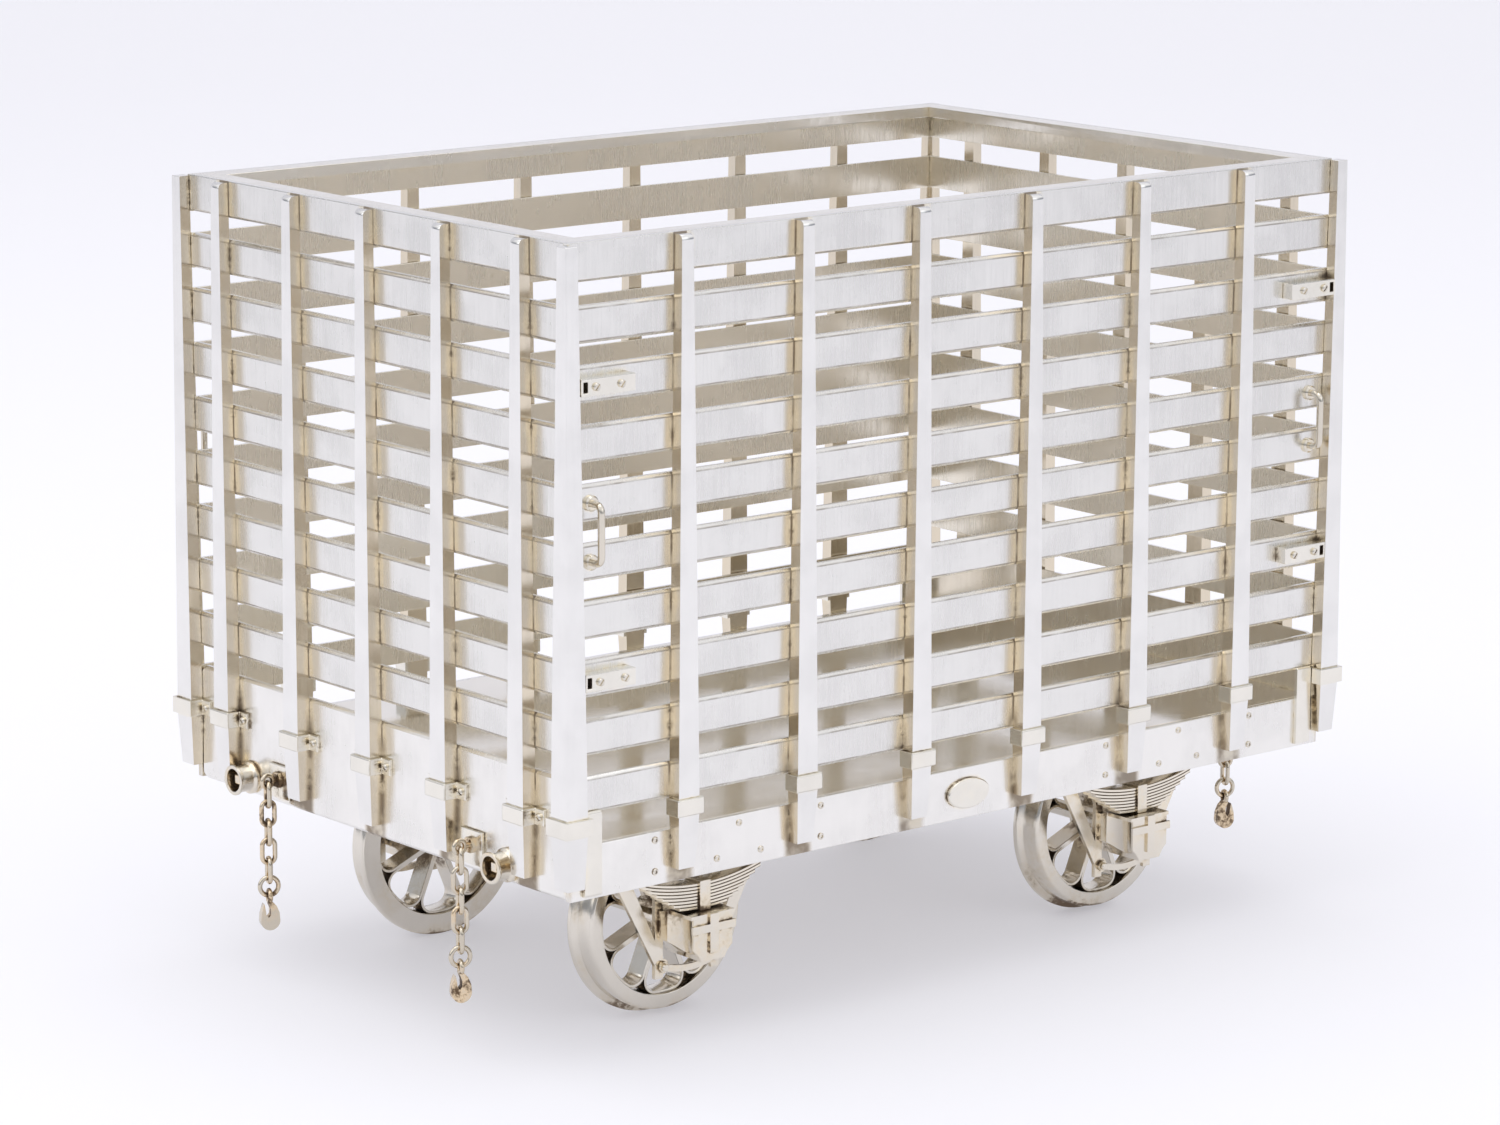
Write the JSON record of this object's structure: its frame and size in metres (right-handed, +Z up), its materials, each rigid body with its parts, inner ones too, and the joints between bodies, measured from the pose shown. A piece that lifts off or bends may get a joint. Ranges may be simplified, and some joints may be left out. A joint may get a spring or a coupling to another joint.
{
  "type": "open slatted goods wagon scale model",
  "caption": "Silver-plated metal scale model of a four-wheeled railway goods wagon: high open-boarded sides, rolling spoked wheels on sprung-style axleboxes, end buffers and hook chains.",
  "frame": {"origin": "midway between the four wheels, on the surface that their flanges stand on", "axes": "+X along the wagon towards its front, +Y across towards its left side, +Z up"},
  "size_m": [0.321, 0.201, 0.2418],
  "materials": {
    "satin_silver": "satin silver plate",
    "polished_silver": "polished silver plate",
    "gear_silver": "silver plate, lightly tarnished",
    "turned_silver": "turned silver plate",
    "chain_silver": "silver wire, tarnished"
  },
  "bodies": {
    "wagon": {"axle_guards": "gear_silver", "axleboxes": "gear_silver", "boards_front": "satin_silver", "boards_left": "satin_silver", "boards_rear": "satin_silver", "boards_right": "satin_silver", "buffer_pegs": "satin_silver", "buffers": "satin_silver", "chain_plates": "satin_silver", "corner_brackets": "satin_silver", "corner_posts": "satin_silver", "end_clips": "satin_silver", "eye_bolts": "satin_silver", "floor_plate": "polished_silver", "frame_bars": "gear_silver", "grab_handles": "satin_silver", "guard_keeps": "gear_silver", "headstock_front": "satin_silver", "headstock_rear": "satin_silver", "leaf_springs": "gear_silver", "oval_plates": "satin_silver", "posts_front": "satin_silver", "posts_left": "satin_silver", "posts_rear": "satin_silver", "posts_right": "satin_silver", "side_clips": "satin_silver", "sill_left": "satin_silver", "sill_right": "satin_silver", "sill_rivets": "satin_silver", "sill_straps": "satin_silver", "slotted_bolts": "satin_silver", "spring_buckles": "gear_silver", "spring_hangers": "gear_silver", "top_rim": "satin_silver"},
    "wheelset_rear": {"wheel_rear_right": "turned_silver", "wheel_rear_left": "turned_silver", "axle_rear": "turned_silver"},
    "wheelset_front": {"wheel_front_right": "turned_silver", "wheel_front_left": "turned_silver", "axle_front": "turned_silver"},
    "chain_rear_right_top_link": {"chain_rear_right_top_link": "chain_silver"},
    "chain_rear_right_upper_links": {"chain_rear_right_upper_links": "chain_silver"},
    "chain_rear_right_lower_links": {"chain_rear_right_lower_links": "chain_silver"},
    "chain_rear_right_ring": {"chain_rear_right_ring": "chain_silver"},
    "chain_rear_right_hook": {"chain_rear_right_hook": "chain_silver"},
    "chain_rear_left_top_link": {"chain_rear_left_top_link": "chain_silver"},
    "chain_rear_left_upper_links": {"chain_rear_left_upper_links": "chain_silver"},
    "chain_rear_left_lower_links": {"chain_rear_left_lower_links": "chain_silver"},
    "chain_rear_left_ring": {"chain_rear_left_ring": "chain_silver"},
    "chain_rear_left_hook": {"chain_rear_left_hook": "chain_silver"},
    "chain_front_right_top_link": {"chain_front_right_top_link": "chain_silver"},
    "chain_front_right_upper_links": {"chain_front_right_upper_links": "chain_silver"},
    "chain_front_right_lower_links": {"chain_front_right_lower_links": "chain_silver"},
    "chain_front_right_ring": {"chain_front_right_ring": "chain_silver"},
    "chain_front_right_hook": {"chain_front_right_hook": "chain_silver"},
    "chain_front_left_top_link": {"chain_front_left_top_link": "chain_silver"},
    "chain_front_left_upper_links": {"chain_front_left_upper_links": "chain_silver"},
    "chain_front_left_lower_links": {"chain_front_left_lower_links": "chain_silver"},
    "chain_front_left_ring": {"chain_front_left_ring": "chain_silver"},
    "chain_front_left_hook": {"chain_front_left_hook": "chain_silver"}
  },
  "joints": [
    {"name": "wheelset_rear_roll", "type": "hinge", "parent": "wagon", "child": "wheelset_rear", "pos_m": [-0.0896, 0, 0.0305], "axis": [0, 1, 0], "continuous": true},
    {"name": "wheelset_front_roll", "type": "hinge", "parent": "wagon", "child": "wheelset_front", "pos_m": [0.0896, 0, 0.0305], "axis": [0, 1, 0], "continuous": true},
    {"name": "chain_rear_right_top_link_swing", "type": "hinge", "parent": "wagon", "child": "chain_rear_right_top_link", "pos_m": [-0.1571, -0.049, 0.0589], "axis": [0.9397, -0.342, 0], "range_deg": [-30, 30]},
    {"name": "chain_rear_right_upper_links_swing", "type": "hinge", "parent": "chain_rear_right_top_link", "child": "chain_rear_right_upper_links", "pos_m": [-0.1571, -0.049, 0.05294], "axis": [0.342, 0.9397, 0], "range_deg": [-25, 60]},
    {"name": "chain_rear_right_lower_links_swing", "type": "hinge", "parent": "chain_rear_right_upper_links", "child": "chain_rear_right_lower_links", "pos_m": [-0.1571, -0.049, 0.04102], "axis": [0.342, 0.9397, 0], "range_deg": [-40, 60]},
    {"name": "chain_rear_right_ring_swing", "type": "hinge", "parent": "chain_rear_right_lower_links", "child": "chain_rear_right_ring", "pos_m": [-0.1571, -0.049, 0.0291], "axis": [0.342, 0.9397, 0], "range_deg": [-45, 45]},
    {"name": "chain_rear_right_hook_swing", "type": "hinge", "parent": "chain_rear_right_ring", "child": "chain_rear_right_hook", "pos_m": [-0.1571, -0.049, 0.02484], "axis": [0.9397, -0.342, 0], "range_deg": [-45, 45]},
    {"name": "chain_rear_left_top_link_swing", "type": "hinge", "parent": "wagon", "child": "chain_rear_left_top_link", "pos_m": [-0.1571, 0.049, 0.0589], "axis": [0.9397, -0.342, 0], "range_deg": [-30, 30]},
    {"name": "chain_rear_left_upper_links_swing", "type": "hinge", "parent": "chain_rear_left_top_link", "child": "chain_rear_left_upper_links", "pos_m": [-0.1571, 0.049, 0.05294], "axis": [0.342, 0.9397, 0], "range_deg": [-25, 60]},
    {"name": "chain_rear_left_lower_links_swing", "type": "hinge", "parent": "chain_rear_left_upper_links", "child": "chain_rear_left_lower_links", "pos_m": [-0.1571, 0.049, 0.04102], "axis": [0.342, 0.9397, 0], "range_deg": [-40, 60]},
    {"name": "chain_rear_left_ring_swing", "type": "hinge", "parent": "chain_rear_left_lower_links", "child": "chain_rear_left_ring", "pos_m": [-0.1571, 0.049, 0.0291], "axis": [0.342, 0.9397, 0], "range_deg": [-45, 45]},
    {"name": "chain_rear_left_hook_swing", "type": "hinge", "parent": "chain_rear_left_ring", "child": "chain_rear_left_hook", "pos_m": [-0.1571, 0.049, 0.02484], "axis": [0.9397, -0.342, 0], "range_deg": [-45, 45]},
    {"name": "chain_front_right_top_link_swing", "type": "hinge", "parent": "wagon", "child": "chain_front_right_top_link", "pos_m": [0.1571, -0.049, 0.0589], "axis": [-0.9397, 0.342, 0], "range_deg": [-30, 30]},
    {"name": "chain_front_right_upper_links_swing", "type": "hinge", "parent": "chain_front_right_top_link", "child": "chain_front_right_upper_links", "pos_m": [0.1571, -0.049, 0.05294], "axis": [-0.342, -0.9397, 0], "range_deg": [-25, 60]},
    {"name": "chain_front_right_lower_links_swing", "type": "hinge", "parent": "chain_front_right_upper_links", "child": "chain_front_right_lower_links", "pos_m": [0.1571, -0.049, 0.04102], "axis": [-0.342, -0.9397, 0], "range_deg": [-40, 60]},
    {"name": "chain_front_right_ring_swing", "type": "hinge", "parent": "chain_front_right_lower_links", "child": "chain_front_right_ring", "pos_m": [0.1571, -0.049, 0.0291], "axis": [-0.342, -0.9397, 0], "range_deg": [-45, 45]},
    {"name": "chain_front_right_hook_swing", "type": "hinge", "parent": "chain_front_right_ring", "child": "chain_front_right_hook", "pos_m": [0.1571, -0.049, 0.02484], "axis": [-0.9397, 0.342, 0], "range_deg": [-45, 45]},
    {"name": "chain_front_left_top_link_swing", "type": "hinge", "parent": "wagon", "child": "chain_front_left_top_link", "pos_m": [0.1571, 0.049, 0.0589], "axis": [-0.9397, 0.342, 0], "range_deg": [-30, 30]},
    {"name": "chain_front_left_upper_links_swing", "type": "hinge", "parent": "chain_front_left_top_link", "child": "chain_front_left_upper_links", "pos_m": [0.1571, 0.049, 0.05294], "axis": [-0.342, -0.9397, 0], "range_deg": [-25, 60]},
    {"name": "chain_front_left_lower_links_swing", "type": "hinge", "parent": "chain_front_left_upper_links", "child": "chain_front_left_lower_links", "pos_m": [0.1571, 0.049, 0.04102], "axis": [-0.342, -0.9397, 0], "range_deg": [-40, 60]},
    {"name": "chain_front_left_ring_swing", "type": "hinge", "parent": "chain_front_left_lower_links", "child": "chain_front_left_ring", "pos_m": [0.1571, 0.049, 0.0291], "axis": [-0.342, -0.9397, 0], "range_deg": [-45, 45]},
    {"name": "chain_front_left_hook_swing", "type": "hinge", "parent": "chain_front_left_ring", "child": "chain_front_left_hook", "pos_m": [0.1571, 0.049, 0.02484], "axis": [-0.9397, 0.342, 0], "range_deg": [-45, 45]}
  ]
}
